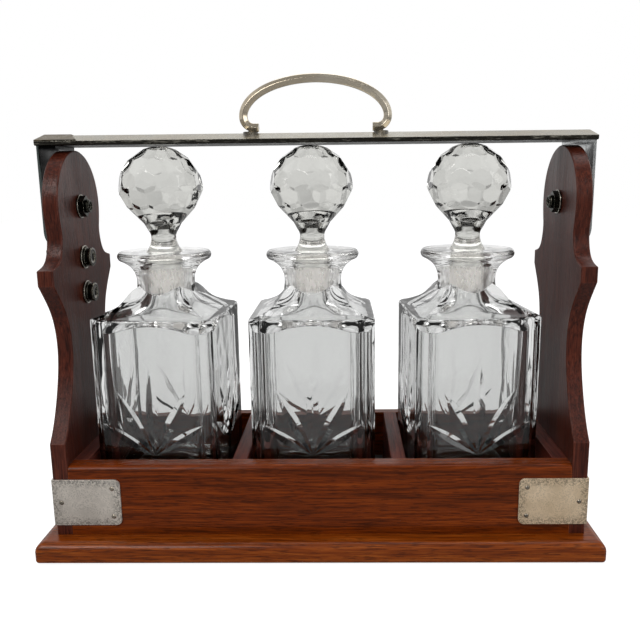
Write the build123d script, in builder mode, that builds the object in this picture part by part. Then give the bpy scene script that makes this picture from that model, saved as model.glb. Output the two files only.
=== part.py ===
from build123d import *
import math
import os

# Tantalus: three square cut-glass decanters in a wooden tray between two
# scroll-sawn uprights, held down by a plated locking bar that swings on the
# uprights. Units are millimetres. X is the long way, the front is -Y, Z is up
# and the origin is the middle of the underside.

os.makedirs("parts", exist_ok=True)

# ------------------------------------------------------------------- sizes
# wooden frame
plinth_height = 14.4
plinth_side_ledge = 11.0
plinth_front_ledge = 14.7
plinth_top_round = 6.0
plinth_small_round = 2.5
upright_thickness = 10.9
upright_base_half = 61.0
upright_foot_height = 66.6
waist_half = 35.1
cusp_half = 56.8
neck_half = 36.5
upright_edge_bevel = 0.6
leg_curve_out = 8.1
leg_curve_drop = 130.2
waist_drop = 94.2
shoulder_curve_out = 4.7
shoulder_curve_drop = 74.2
cusp_low_drop = 50.7
cusp_high_drop = 40.2
neck_curve_out = 5.3
neck_curve_drop = 34.2
neck_drop = 19.2
head_join_angle = 10.5
tray_height = 50.5
tray_front_thickness = 12.5
tray_back_thickness = 11.0
tray_end_thickness = 10.1
tray_floor_thickness = 12.0
divider_thickness = 10.5
divider_round = 1.0
middle_bay = 101.2
side_bay = 101.9
rim_round = 3.5
baize_thickness = 1.0
baize_margin = 0.6

# corner plates and their pins
plate_thickness = 1.0
plate_height = 33.5
plate_front_leg = 46.5
plate_side_leg = 30.0
plate_bottom_gap = 7.6
plate_corner_round = 4.0
pin_head_radius = 1.7
pin_head_height = 0.7
pin_shank_radius = 0.7
pin_length = 7.0
pin_inset = 5.2
pin_far_inset = 41.0
pin_spread = 10.3
pin_side_inset = 24.5

# screws that come up through the plinth
frame_screw_radius = 2.0
frame_screw_head_radius = 4.0
frame_screw_head_height = 2.4
frame_screw_length = 30.0
frame_screw_recess = 0.6
frame_screw_inset = 21.0
frame_screw_slot = 1.0

# decanters
decanter_width = 88.0
decanter_corner = 7.5
decanter_body_height = 136.2
decanter_edge_round = 2.2
decanter_foot_round = 1.6
decanter_wall = 6.6
decanter_base = 11.0
decanter_height = 179.8
# dome over the hollow: out from the axis, above the top of the body's walls
dome_points = ((16.0, 6.2), (22.0, 1.6), (30.0, -2.2), (37.4, -5.4), (54.0, -15.0))
# shoulder cove: half width of the square section against height over the body
cove_points = ((33.0, 3.0), (27.2, 6.5), (23.8, 10.4), (21.3, 14.0), (17.5, 18.0), (14.0, 20.5))
neck_radius = 20.8
neck_root_radius = 21.9
neck_root_rise = 8.0
# neck flare: radius over the neck radius against share of the height up to the lip
neck_flare = ((0.5, 0.27), (0.0, 0.52), (1.4, 0.71), (4.0, 0.85))
lip_radius = 33.7
lip_depth = 6.4
lip_widest_drop = 3.0
lip_underside_inset = 2.7
lip_top_inset = 1.5
inner_corner_round = 14.0
inner_foot_round = 12.0
bore_top_radius = 12.9
bore_bottom_radius = 11.9
bore_length = 23.0
mouth_depth = 7.2
mouth_radius = 13.6
mouth_bevel = 1.2
mouth_bevel_depth = 1.0
left_decanter_x = -113.2
middle_decanter_x = -4.5
right_decanter_x = 108.4
left_decanter_turn = -5.0
middle_decanter_turn = 0.4
right_decanter_turn = 5.0

# mitre cuts that fan up each decanter face
leaf_depth = 1.6
leaf_spring_height = 38.0
leaf_widest_share = 0.45

# stoppers
ball_radius = 29.7
ball_top_flat = 29.3
ball_facet_distance = 28.7
ball_centre_rise = 45.1
ball_facet_count = 12
ball_cone_start = 17.0
stem_radius = 9.2
stem_collar_radius = 13.4
stem_collar_rise = 20.3
stem_swell = 1.8
stem_swell_rise = 15.9
stem_high_rise = 12.5
stem_low_rise = 7.5
stem_rim_radius = 12.8
plug_bevel = 0.8
stopper_fit = 0.05
stopper_bore_gap = 1.0
left_stopper_turn = 9.0
middle_stopper_turn = 0.0
right_stopper_turn = -7.0

# swinging locking bar
stopper_gap = 0.8
bar_drop = 42.2
bar_depth = 38.0
bar_edge_height = 3.0
bar_ridge_rise = 4.8
bar_lower_round = 1.4
bar_end_margin = 0.6
bar_offset = -1.0
end_plate_thickness = 0.8
end_plate_ridge_length = 19.0
end_plate_edge_length = 29.4
arm_clearance = 7.0
arm_thickness = 2.0
arm_width = 34.0
arm_tail = 25.7
arm_tail_round = 9.0
flange_length = 13.5
flange_thickness = 2.0
head_gap = 0.8
rivet_radius = 1.5
rivet_head_radius = 2.6
rivet_spread = 9.0

# carrying handle
handle_half = 46.3
handle_shift = 0.2
handle_spread = 51.0
handle_arch = 25.9
handle_curl = 7.5
handle_stub = 6.0
handle_rod_height = 5.8
handle_rod_depth = 7.2
handle_rod_round = 0.7
foot_half_x = 6.5
foot_half_y = 14.4
foot_waist_x = 5.2
foot_waist_y = 6.5
foot_height = 4.6
foot_rise = 0.8
handle_screw_radius = 1.6
handle_screw_head_radius = 3.2
handle_screw_bite = 3.2

# pivot bolts
pivot_radius = 4.0
pivot_fit = 0.05
pivot_side_play = 0.1
pivot_head_radius = 6.0
pivot_head_height = 2.3
pivot_end = 7.0
pivot_end_radius = 4.8
pivot_end_bevel = 0.5
pivot_slot = 1.8
pivot_dimple_radius = 1.8
pivot_dimple_depth = 1.8
bush_radius = 7.5
washer_radius = 8.3
washer_thickness = 1.2
nut_half_flats = 6.6
nut_height = 3.7

# lock on the outer face of the left upright
lock_half_width = 12.0
lock_top = 30.7
lock_bottom = 69.2
lock_wall = 1.2
lock_back = 1.5
lock_edge_round = 0.5
lock_screw_top = 36.9
lock_screw_bottom = 62.9
lock_screw_radius = 2.5
lock_screw_head_radius = 6.4
lock_screw_head_height = 5.4
lock_screw_bevel = 0.6
lock_screw_slot = 1.8
lock_screw_slot_depth = 2.2
barrel_drop = 53.2
barrel_radius = 3.8
barrel_fit = 0.05
cam_radius = 7.0
cam_thickness = 1.5
cam_gap = 0.3
cam_spigot_radius = 1.5
cam_pin_radius = 0.9
cam_pin_offset = 5.2
cam_rest_angle = -28.7
cam_pin_gap = 0.25
keyhole_radius = 1.3
keyhole_slot = 1.0
keyhole_slot_length = 2.6
keyhole_depth = 5.0
bolt_half_width = 10.4
bolt_tip_half_width = 3.0
bolt_tip_drop = 28.0
bolt_tip_round = 0.6
bolt_travel = 5.0
bolt_play = 0.2
bolt_shoulder_drop = 46.0
bolt_foot_drop = 65.6
bolt_window_margin = 0.5
notch_gap = 0.2
notch_depth = 4.2

# --------------------------------------------------------- derived positions
upright_inner = middle_bay / 2 + divider_thickness + side_bay + tray_end_thickness
upright_outer = upright_inner + upright_thickness
plinth_length = 2 * (upright_outer + plinth_side_ledge)
plinth_depth = 2 * (upright_base_half + plinth_front_ledge)
rim_z = plinth_height + tray_height
floor_z = plinth_height + tray_floor_thickness
decanter_z = floor_z + baize_thickness
decanter_rim_z = decanter_z + decanter_height
ball_z = decanter_rim_z + ball_centre_rise
bar_z = ball_z + ball_top_flat + stopper_gap
bar_edge_z = bar_z + bar_edge_height
bar_ridge_z = bar_edge_z + bar_ridge_rise
pivot_z = bar_z - bar_drop
head_radius = bar_drop - flange_thickness - head_gap
bar_half = upright_outer + arm_clearance + arm_thickness + bar_end_margin
arm_inner_reach = upright_outer + arm_clearance
lock_screw_drops = (lock_screw_top, lock_screw_bottom)
plate_z = plinth_height + plate_bottom_gap
tray_inner_front = -upright_base_half + tray_front_thickness
tray_inner_back = upright_base_half - tray_back_thickness


def keep(part, name):
    part.label = name
    export_step(part, f"parts/{name}.step")
    return part


def facing_x(x, y, z):
    """Plane that looks along +X, with +Y to its right and +Z upward."""
    return Plane(origin=(x, y, z), x_dir=(0, 1, 0), z_dir=(1, 0, 0))


def rod(start, direction, radius, length):
    """Plain round rod used to add or to cut."""
    with BuildPart() as piece:
        with BuildSketch(Plane(origin=start, z_dir=direction)):
            Circle(radius)
        extrude(amount=length)
    return piece.part


def slab(low, high):
    """Square-edged board between two corners."""
    with BuildPart() as piece:
        with BuildSketch(Plane(origin=low, z_dir=(0, 0, 1))):
            Rectangle(high[0] - low[0], high[1] - low[1], align=(Align.MIN, Align.MIN))
        extrude(amount=high[2] - low[2])
    return piece.part


def turned(profile, start, direction):
    """Solid of revolution: profile points are (radius, height along direction)."""
    with BuildPart() as piece:
        with BuildSketch(Plane.XZ):
            with BuildLine():
                Polyline(*profile, close=True)
            make_face()
        revolve(axis=Axis.Z)
    return Plane(origin=start, z_dir=direction) * piece.part


# ------------------------------------------------------------ frame screws
front_board_y = (-upright_base_half + tray_inner_front) / 2
back_board_y = (upright_base_half + tray_inner_back) / 2
upright_middle = upright_inner + upright_thickness / 2
frame_screw_places = []
for side in (-1, 1):
    for y in (frame_screw_inset - upright_base_half, upright_base_half - frame_screw_inset):
        frame_screw_places.append((side * upright_middle, y))
    frame_screw_places.append((side * middle_bay, front_board_y))
    frame_screw_places.append((side * middle_bay, back_board_y))

screw_tip = frame_screw_length - 2 * frame_screw_radius
screw_profile = [
    (0, 0),
    (frame_screw_head_radius, 0),
    (frame_screw_radius, frame_screw_head_height),
    (frame_screw_radius, screw_tip),
    (0, frame_screw_length),
]
frame_screw_cuts = []
with BuildPart() as frame_screws:
    for x, y in frame_screw_places:
        start = (x, y, frame_screw_recess)
        add(turned(screw_profile, start, (0, 0, 1)))
        frame_screw_cuts.append(turned(screw_profile, start, (0, 0, 1)))
        frame_screw_cuts.append(rod((x, y, -1), (0, 0, 1), frame_screw_head_radius, 1 + frame_screw_recess))
    for x, y in frame_screw_places:
        with BuildSketch(Plane.XY.offset(frame_screw_recess)):
            with Locations((x, y)):
                Rectangle(2 * frame_screw_head_radius, frame_screw_slot)
        extrude(amount=frame_screw_slot, mode=Mode.SUBTRACT)
keep(frame_screws.part, "frame_screws")

# ------------------------------------------------------------------ plinth
with BuildPart() as plinth:
    with BuildSketch():
        Rectangle(plinth_length, plinth_depth)
    extrude(amount=plinth_height)
    fillet(plinth.edges().filter_by(Axis.Z), plinth_small_round)
    fillet(plinth.faces().sort_by(Axis.Z)[-1].edges(), plinth_top_round)
    fillet(plinth.faces().sort_by(Axis.Z)[0].edges(), plinth_small_round)
    for cut in frame_screw_cuts:
        add(cut, mode=Mode.SUBTRACT)
keep(plinth.part, "plinth")

# -------------------------------------------------------- corner plate pins
plate_outer = upright_outer
pin_places = []
for side in (-1, 1):
    for face in (-1, 1):
        y = face * (upright_base_half + plate_thickness)
        middle = plate_z + plate_height / 2
        inward = (0, -face, 0)
        pin_places.append(((side * (plate_outer - pin_inset), y, middle), inward))
        pin_places.append(((side * (plate_outer - pin_far_inset), y, middle + pin_spread), inward))
        pin_places.append(((side * (plate_outer - pin_far_inset), y, middle - pin_spread), inward))
        side_x = side * (plate_outer + plate_thickness)
        side_y = face * (upright_base_half - pin_side_inset)
        sideways = (-side, 0, 0)
        pin_places.append(((side_x, side_y, middle + pin_spread), sideways))
        pin_places.append(((side_x, side_y, middle - pin_spread), sideways))

pin_reach = pin_length - 2 * pin_shank_radius
pin_profile = [
    (0, -pin_head_height),
    (0.6 * pin_head_radius, -0.8 * pin_head_height),
    (pin_head_radius, 0),
    (pin_shank_radius, 0),
    (pin_shank_radius, pin_reach),
    (0, pin_length),
]
pin_hole_profile = [
    (0, 0),
    (pin_shank_radius, 0),
    (pin_shank_radius, pin_reach),
    (0, pin_length),
]
with BuildPart() as corner_pins:
    for start, direction in pin_places:
        add(turned(pin_profile, start, direction))
keep(corner_pins.part, "corner_pins")


def pin_cuts(x_low, x_high, y_low, y_high):
    """Pin holes whose start lies inside the given plan rectangle."""
    cuts = []
    for start, direction in pin_places:
        if x_low < start[0] < x_high and y_low < start[1] < y_high:
            cuts.append(turned(pin_hole_profile, start, direction))
    return cuts


# ------------------------------------------------------------- corner plates
def corner_plate(side, face, name):
    x_outer = side * (plate_outer + plate_thickness)
    y_outer = face * (upright_base_half + plate_thickness)
    x_inner_end = side * (plate_outer - plate_front_leg)
    y_inner_end = face * (upright_base_half - plate_side_leg)
    with BuildPart() as plate:
        with BuildSketch(Plane.XY.offset(plate_z)):
            with BuildLine():
                Polyline(
                    (x_inner_end, y_outer),
                    (x_outer, y_outer),
                    (x_outer, y_inner_end),
                    (side * plate_outer, y_inner_end),
                    (side * plate_outer, face * upright_base_half),
                    (x_inner_end, face * upright_base_half),
                    close=True,
                )
            make_face()
        extrude(amount=plate_height)
        front_ends = plate.edges().filter_by(Axis.Y).group_by(Axis.X)[0 if side > 0 else -1]
        side_ends = plate.edges().filter_by(Axis.X).group_by(Axis.Y)[0 if face > 0 else -1]
        fillet(front_ends + side_ends, plate_corner_round)
        bend = plate.edges().filter_by(Axis.Z).sort_by_distance((x_outer, y_outer, plate_z))[0]
        fillet(bend, 0.9 * plate_thickness)
        for cut in pin_cuts(*sorted((0, 2 * x_outer)), *sorted((0, 2 * y_outer))):
            add(cut, mode=Mode.SUBTRACT)
    keep(plate.part, name)


corner_plate(-1, -1, "front_left_corner_plate")
corner_plate(1, -1, "front_right_corner_plate")
corner_plate(-1, 1, "rear_left_corner_plate")
corner_plate(1, 1, "rear_right_corner_plate")


# ------------------------------------------------------------------ uprights
def upright_blank(side):
    foot_z = plinth_height + upright_foot_height
    angle = math.radians(head_join_angle)
    join = (head_radius * math.cos(angle), pivot_z - head_radius * math.sin(angle))
    join_direction = (math.sin(angle), math.cos(angle))
    cusp_low = (cusp_half, pivot_z - cusp_low_drop)
    cusp_high = (cusp_half, pivot_z - cusp_high_drop)
    with BuildPart() as upright:
        with BuildSketch(facing_x(min(side * upright_inner, side * upright_outer), 0, 0)):
            with BuildLine():
                Line((0, plinth_height), (upright_base_half, plinth_height))
                Line((upright_base_half, plinth_height), (upright_base_half, foot_z))
                Spline(
                    (upright_base_half, foot_z),
                    (waist_half + leg_curve_out, pivot_z - leg_curve_drop),
                    (waist_half, pivot_z - waist_drop),
                    (waist_half + shoulder_curve_out, pivot_z - shoulder_curve_drop),
                    cusp_low,
                    tangents=((-0.68, 0.73), (0.62, 0.78)),
                )
                Line(cusp_low, cusp_high)
                Spline(
                    cusp_high,
                    (neck_half + neck_curve_out, pivot_z - neck_curve_drop),
                    (neck_half, pivot_z - neck_drop),
                    join,
                    tangents=((-1.0, 0.2), join_direction),
                )
                CenterArc((0, pivot_z), head_radius, -head_join_angle, 90 + head_join_angle)
                Line((0, pivot_z + head_radius), (0, plinth_height))
            make_face()
            mirror(about=Plane.YZ)
        extrude(amount=upright_thickness)
        above = upright.edges().filter_by(lambda e: e.center().Z > plinth_height + 1)
        flat_edges = above.filter_by(lambda e: e.bounding_box().size.X < 0.01)
        chamfer(flat_edges, upright_edge_bevel)
    return upright.part


def finish_upright(side, name):
    x_start = side * (upright_inner - 1)
    through = upright_thickness + 2
    blank = upright_blank(side)
    with BuildPart() as upright:
        add(blank)
        add(rod((x_start, 0, pivot_z), (side, 0, 0), pivot_radius, through), mode=Mode.SUBTRACT)
        if side < 0:
            for drop in lock_screw_drops:
                hole = rod((x_start, 0, pivot_z - drop), (side, 0, 0), lock_screw_radius, through)
                add(hole, mode=Mode.SUBTRACT)
        for cut in frame_screw_cuts:
            add(cut, mode=Mode.SUBTRACT)
        for cut in pin_cuts(*sorted((side * upright_inner, 2 * side * upright_outer)), -200, 200):
            add(cut, mode=Mode.SUBTRACT)
    keep(upright.part, name)


finish_upright(-1, "left_upright")
finish_upright(1, "right_upright")

# ---------------------------------------------------------------------- tray
for name, y_low, y_high, outer_face in (
    ("tray_front_board", -upright_base_half, tray_inner_front, -1),
    ("tray_back_board", tray_inner_back, upright_base_half, 1),
):
    with BuildPart() as board:
        add(slab((-upright_inner, y_low, plinth_height), (upright_inner, y_high, rim_z)))
        top_edges = board.faces().sort_by(Axis.Z)[-1].edges().filter_by(Axis.X).sort_by(Axis.Y)
        fillet(top_edges[0 if outer_face < 0 else -1], rim_round)
        for cut in frame_screw_cuts:
            add(cut, mode=Mode.SUBTRACT)
        for cut in pin_cuts(-upright_inner, upright_inner, *sorted((0, outer_face * 200))):
            add(cut, mode=Mode.SUBTRACT)
    keep(board.part, name)

for side, name in ((-1, "tray_left_end"), (1, "tray_right_end")):
    x_low, x_high = sorted((side * (upright_inner - tray_end_thickness), side * upright_inner))
    low = (x_low, tray_inner_front, plinth_height)
    high = (x_high, tray_inner_back, rim_z)
    keep(slab(low, high), name)

for side, name in ((-1, "left_divider"), (1, "right_divider")):
    near = side * middle_bay / 2
    x_low, x_high = sorted((near, near + side * divider_thickness))
    with BuildPart() as divider:
        add(slab((x_low, tray_inner_front, floor_z), (x_high, tray_inner_back, rim_z)))
        fillet(divider.faces().sort_by(Axis.Z)[-1].edges().filter_by(Axis.Y), divider_round)
    keep(divider.part, name)

floor_reach = upright_inner - tray_end_thickness
floor_low = (-floor_reach, tray_inner_front, plinth_height)
keep(slab(floor_low, (floor_reach, tray_inner_back, floor_z)), "tray_floor")

bay_edges = (
    (-middle_bay / 2 - divider_thickness - side_bay, -middle_bay / 2 - divider_thickness),
    (-middle_bay / 2, middle_bay / 2),
    (middle_bay / 2 + divider_thickness, middle_bay / 2 + divider_thickness + side_bay),
)
with BuildPart() as baize_pads:
    for x_low, x_high in bay_edges:
        low = (x_low + baize_margin, tray_inner_front + baize_margin, floor_z)
        high = (x_high - baize_margin, tray_inner_back - baize_margin, decanter_z)
        add(slab(low, high))
keep(baize_pads.part, "baize_pads")


# ----------------------------------------------------------------- decanters
# each leaf: lean from upright (degrees), length, half width
leaves = (
    (0.0, 66.0, 4.2),
    (28.0, 54.0, 4.0),
    (-28.0, 54.0, 4.0),
    (57.0, 44.0, 3.4),
    (-57.0, 44.0, 3.4),
)


def leaf_cutter(lean, length, half_width):
    """Lens-shaped V groove in a face that looks along -Y at y = 0."""
    with BuildPart() as cutter:
        with BuildSketch(Plane.XZ) as outline:
            with BuildLine():
                ThreePointArc((0, 0), (half_width, leaf_widest_share * length), (0, length))
                ThreePointArc((0, length), (-half_width, leaf_widest_share * length), (0, 0))
            make_face()
        extrude(amount=-leaf_depth, taper=math.degrees(math.atan(half_width / leaf_depth)) * 0.97)
    return Pos(0, 0, leaf_spring_height) * Rotation(0, lean, 0) * cutter.part


def shoulder_prism(facing):
    """Body and coved shoulder as seen from one side, drawn out along that view."""
    half = decanter_width / 2
    edge = decanter_body_height - decanter_edge_round
    arc_side = decanter_edge_round * (1 - math.cos(math.pi / 4))
    cove = [(half - decanter_edge_round, decanter_body_height)]
    cove += [(x, decanter_body_height + rise) for x, rise in cove_points]
    with BuildPart() as prism:
        with BuildSketch(facing):
            with BuildLine():
                Line((0, 0), (half, 0))
                Line((half, 0), (half, edge))
                ThreePointArc((half, edge), (half - arc_side, decanter_body_height - arc_side), cove[0])
                Spline(*cove, tangents=((-1.0, 0.15), (-0.7, 0.7)))
                Line(cove[-1], (0, cove[-1][1]))
                Line((0, cove[-1][1]), (0, 0))
            make_face()
            mirror(about=Plane.YZ)
        extrude(amount=decanter_width, both=True)
    return prism.part


def build_hollow(top):
    """Hollow with rounded corners and foot, and a dome that runs into the bore."""
    inner_half = decanter_width / 2 - decanter_wall
    dome = [(bore_bottom_radius, top)]
    dome += [(out, decanter_body_height + rise) for out, rise in dome_points]
    with BuildPart() as hollow:
        with BuildSketch(Plane.XY.offset(decanter_base)) as outline:
            Rectangle(2 * inner_half, 2 * inner_half)
            fillet(outline.vertices(), inner_corner_round)
        extrude(amount=top - decanter_base)
        fillet(hollow.faces().sort_by(Axis.Z)[0].edges(), inner_foot_round)
        with BuildSketch(Plane.XZ):
            with BuildLine():
                Spline(*dome, tangents=((0.3, -1.0), (1.0, -0.6)))
                Polyline(dome[-1], (dome[-1][0], 0), (0, 0), (0, top), dome[0])
            make_face()
        revolve(axis=Axis.Z, mode=Mode.INTERSECT)
    return hollow.part


def build_decanter():
    half = decanter_width / 2
    with BuildPart() as glass:
        with BuildSketch() as foot:
            Rectangle(decanter_width, decanter_width)
            chamfer(foot.vertices(), decanter_corner)
        extrude(amount=decanter_height)
        add(shoulder_prism(Plane.XZ), mode=Mode.INTERSECT)
        add(Rotation(0, 0, 90) * shoulder_prism(Plane.XZ), mode=Mode.INTERSECT)
        chamfer(glass.faces().sort_by(Axis.Z)[0].edges(), decanter_foot_round)
        root_z = decanter_body_height + neck_root_rise
        lip_z = decanter_height - lip_depth
        lip_under = (lip_radius - lip_underside_inset, lip_z)
        lip_side = (lip_radius, decanter_height - lip_widest_drop)
        lip_top = (lip_radius - lip_top_inset, decanter_height)
        flare = [(neck_radius + out, root_z + share * (lip_z - root_z)) for out, share in neck_flare]
        with BuildSketch(Plane.XZ):
            with BuildLine():
                Line((0, root_z), (neck_root_radius, root_z))
                Spline((neck_root_radius, root_z), *flare, lip_under, tangents=((-0.1, 1.0), (0.9, 0.45)))
                ThreePointArc(lip_under, lip_side, lip_top)
                Line(lip_top, (0, decanter_height))
                Line((0, decanter_height), (0, root_z))
            make_face()
        revolve(axis=Axis.Z)
        bore_top_z = decanter_height - mouth_depth
        bore_bottom_z = bore_top_z - bore_length
        add(build_hollow(bore_bottom_z), mode=Mode.SUBTRACT)
        with BuildSketch(Plane.XZ):
            with BuildLine():
                Polyline(
                    (0, bore_bottom_z),
                    (bore_bottom_radius, bore_bottom_z),
                    (bore_top_radius, bore_top_z),
                    (mouth_radius, decanter_height - mouth_bevel_depth),
                    (mouth_radius + mouth_bevel, decanter_height),
                    (0, decanter_height),
                    close=True,
                )
            make_face()
        revolve(axis=Axis.Z, mode=Mode.SUBTRACT)
        for quarter in range(4):
            for leaf in leaves:
                groove = Pos(0, -half, 0) * leaf_cutter(*leaf)
                add(Rotation(0, 0, 90 * quarter) * groove, mode=Mode.SUBTRACT)
    return glass.part


decanter_blank = build_decanter()
for name, x, turn in (
    ("left_decanter", left_decanter_x, left_decanter_turn),
    ("middle_decanter", middle_decanter_x, middle_decanter_turn),
    ("right_decanter", right_decanter_x, right_decanter_turn),
):
    keep(Pos(x, 0, decanter_z) * Rotation(0, 0, turn) * decanter_blank, name)


# ------------------------------------------------------------------ stoppers
# facet rows: elevation of the facet (degrees), cut deeper than the others by, phase
facet_rows = (
    (-27.0, 1.7, 0.0),
    (8.0, 0.0, 0.5),
    (33.0, 0.0, 0.0),
    (55.0, -0.2, 0.5),
)


def build_stopper():
    """Stopper with its ball centre at the origin."""
    cone_angle = math.radians(-ball_cone_start)
    cone_start = (ball_radius * math.cos(cone_angle), ball_radius * math.sin(cone_angle))
    collar = (stem_collar_radius, stem_collar_rise - ball_centre_rise)
    with BuildPart() as ball:
        with BuildSketch(Plane.XZ):
            with BuildLine():
                CenterArc((0, 0), ball_radius, -ball_cone_start, 90 + ball_cone_start)
                Line(cone_start, collar)
                Line(collar, (0, collar[1]))
                Line((0, collar[1]), (0, ball_radius))
            make_face()
        revolve(axis=Axis.Z)
        split(bisect_by=Plane.XY.offset(ball_top_flat), keep=Keep.BOTTOM)
        for elevation, deeper, phase in facet_rows:
            for index in range(ball_facet_count):
                around = math.radians(360 / ball_facet_count * (index + phase) - 90)
                up = math.radians(elevation)
                normal = Vector(
                    math.cos(up) * math.cos(around),
                    math.cos(up) * math.sin(around),
                    math.sin(up),
                )
                cut = Plane(origin=normal * (ball_facet_distance - deeper), z_dir=normal)
                split(bisect_by=cut, keep=Keep.BOTTOM)
    rim = -ball_centre_rise
    plug_top = rim - mouth_depth
    plug_bottom = plug_top - bore_length + stopper_bore_gap
    lower_radius = bore_bottom_radius + (bore_top_radius - bore_bottom_radius) * stopper_bore_gap / bore_length
    with BuildPart() as stopper:
        add(ball.part)
        with BuildSketch(Plane.XZ):
            with BuildLine():
                Polyline(
                    (0, collar[1]),
                    (0, plug_bottom),
                    (lower_radius - stopper_fit - plug_bevel, plug_bottom),
                    (lower_radius - stopper_fit, plug_bottom + plug_bevel),
                    (bore_top_radius - stopper_fit, plug_top),
                    (stem_rim_radius, rim),
                )
                Spline(
                    (stem_rim_radius, rim),
                    (stem_radius, rim + stem_low_rise),
                    (stem_radius, rim + stem_high_rise),
                    (stem_radius + stem_swell, rim + stem_swell_rise),
                    collar,
                    tangents=((-0.6, 0.8), (0.5, 0.86)),
                )
                Line(collar, (0, collar[1]))
            make_face()
        revolve(axis=Axis.Z)
    return stopper.part


stopper_blank = build_stopper()
for name, x, turn in (
    ("left_stopper", left_decanter_x, left_stopper_turn),
    ("middle_stopper", middle_decanter_x, middle_stopper_turn),
    ("right_stopper", right_decanter_x, right_stopper_turn),
):
    keep(Pos(x, 0, ball_z) * Rotation(0, 0, turn) * stopper_blank, name)

# ------------------------------------------------- fixings through the bar
handle_x = bar_offset + handle_shift
handle_foot_xs = (handle_x - handle_half, handle_x + handle_half)
foot_top_z = bar_ridge_z + foot_rise
stub_z = foot_top_z + handle_rod_height / 2
screw_top_z = foot_top_z + handle_screw_bite
handle_screw_profile = [
    (0, 0),
    (handle_screw_head_radius, 0),
    (handle_screw_radius, handle_screw_head_radius - handle_screw_radius),
    (handle_screw_radius, screw_top_z - bar_z),
    (0, screw_top_z - bar_z),
]
rivet_top = flange_thickness + bar_edge_height
rivet_profile = [
    (0, 0),
    (rivet_head_radius, 0),
    (rivet_radius, rivet_head_radius - rivet_radius),
    (rivet_radius, rivet_top),
    (0, rivet_top),
]
rivet_places = []
for side in (-1, 1):
    rivet_x = bar_offset + side * (arm_inner_reach - flange_length / 2 + arm_thickness)
    for y in (-rivet_spread, rivet_spread):
        rivet_places.append((rivet_x, y, bar_z - flange_thickness))
rivet_cuts = [turned(rivet_profile, place, (0, 0, 1)) for place in rivet_places]
handle_screw_cuts = [turned(handle_screw_profile, (x, 0, bar_z), (0, 0, 1)) for x in handle_foot_xs]

with BuildPart() as arm_rivets:
    for place in rivet_places:
        add(turned(rivet_profile, place, (0, 0, 1)))
keep(arm_rivets.part, "arm_rivets")

with BuildPart() as handle_screws:
    for x in handle_foot_xs:
        add(turned(handle_screw_profile, (x, 0, bar_z), (0, 0, 1)))
keep(handle_screws.part, "handle_screws")

# --------------------------------------------------------------- locking bar
bar_x = bar_offset - bar_half
bar_side = bar_depth / 2
with BuildPart() as bar_blank:
    with BuildSketch(facing_x(bar_x, 0, 0)) as section:
        with BuildLine():
            Polyline(
                (-bar_side, bar_z),
                (bar_side, bar_z),
                (bar_side, bar_edge_z),
                (0, bar_ridge_z),
                (-bar_side, bar_edge_z),
                close=True,
            )
        make_face()
    extrude(amount=2 * bar_half)
    lower = bar_blank.faces().sort_by(Axis.Z)[0].edges().filter_by(Axis.X)
    fillet(lower, bar_lower_round)

with BuildPart() as locking_bar:
    add(bar_blank.part)
    for cut in handle_screw_cuts + rivet_cuts:
        add(cut, mode=Mode.SUBTRACT)
keep(locking_bar.part, "locking_bar")

with BuildPart() as bar_end_plate:
    with BuildSketch(facing_x(bar_x, 0, 0)):
        with BuildLine():
            Polyline(
                (-bar_side, bar_edge_z),
                (0, bar_ridge_z),
                (bar_side, bar_edge_z),
                (bar_side, bar_edge_z + end_plate_thickness),
                (0, bar_ridge_z + end_plate_thickness),
                (-bar_side, bar_edge_z + end_plate_thickness),
                close=True,
            )
        make_face()
    extrude(amount=end_plate_edge_length)
    with BuildSketch(Plane.XY.offset(bar_z)):
        with BuildLine():
            Polyline(
                (bar_x + end_plate_edge_length + 1, -bar_side),
                (bar_x + end_plate_edge_length, -bar_side),
                (bar_x + end_plate_ridge_length, 0),
                (bar_x + end_plate_edge_length, bar_side),
                (bar_x + end_plate_edge_length + 1, bar_side),
                close=True,
            )
        make_face()
    extrude(amount=2 * (bar_ridge_z - bar_z), mode=Mode.SUBTRACT)
keep(bar_end_plate.part, "bar_end_plate")


# ---------------------------------------------------------------------- arms
def swing_arm(side, name):
    inner = bar_offset + side * arm_inner_reach
    outer = inner + side * arm_thickness
    x_low = min(inner, outer)
    tail_z = pivot_z - arm_tail
    half = arm_width / 2
    with BuildPart() as arm:
        with BuildSketch(facing_x(x_low, 0, 0)) as strap:
            with BuildLine():
                Polyline((-half, bar_z), (-half, tail_z), (half, tail_z), (half, bar_z), close=True)
            make_face()
            fillet(strap.vertices().sort_by(Axis.Y)[:2], arm_tail_round)
        extrude(amount=arm_thickness)
        flange_start = outer - side * flange_length
        flange_low, flange_high = sorted((flange_start, inner))
        add(slab((flange_low, -half, bar_z - flange_thickness), (flange_high, half, bar_z)))
        with BuildSketch(facing_x(x_low - 1, 0, pivot_z)):
            Circle(pivot_radius + pivot_fit)
        extrude(amount=arm_thickness + 2, mode=Mode.SUBTRACT)
        if side < 0:
            with BuildSketch(facing_x(x_low - 1, 0, tail_z)):
                Rectangle(2 * (bolt_tip_half_width + notch_gap), 2 * notch_depth)
            extrude(amount=arm_thickness + 2, mode=Mode.SUBTRACT)
        for cut in rivet_cuts:
            add(cut, mode=Mode.SUBTRACT)
    keep(arm.part, name)


swing_arm(-1, "left_arm")
swing_arm(1, "right_arm")


# -------------------------------------------------------------------- handle
def rod_section(plane):
    """Ridged section of the handle rod."""
    high = handle_rod_height / 2
    deep = handle_rod_depth / 2
    with BuildSketch(plane) as section:
        with BuildLine():
            Polyline(
                (-high, -0.45 * deep),
                (0, -deep),
                (high, -0.45 * deep),
                (high, 0.45 * deep),
                (0, deep),
                (-high, 0.45 * deep),
                close=True,
            )
        make_face()
        fillet(section.vertices(), handle_rod_round)
    return section.sketch


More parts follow.
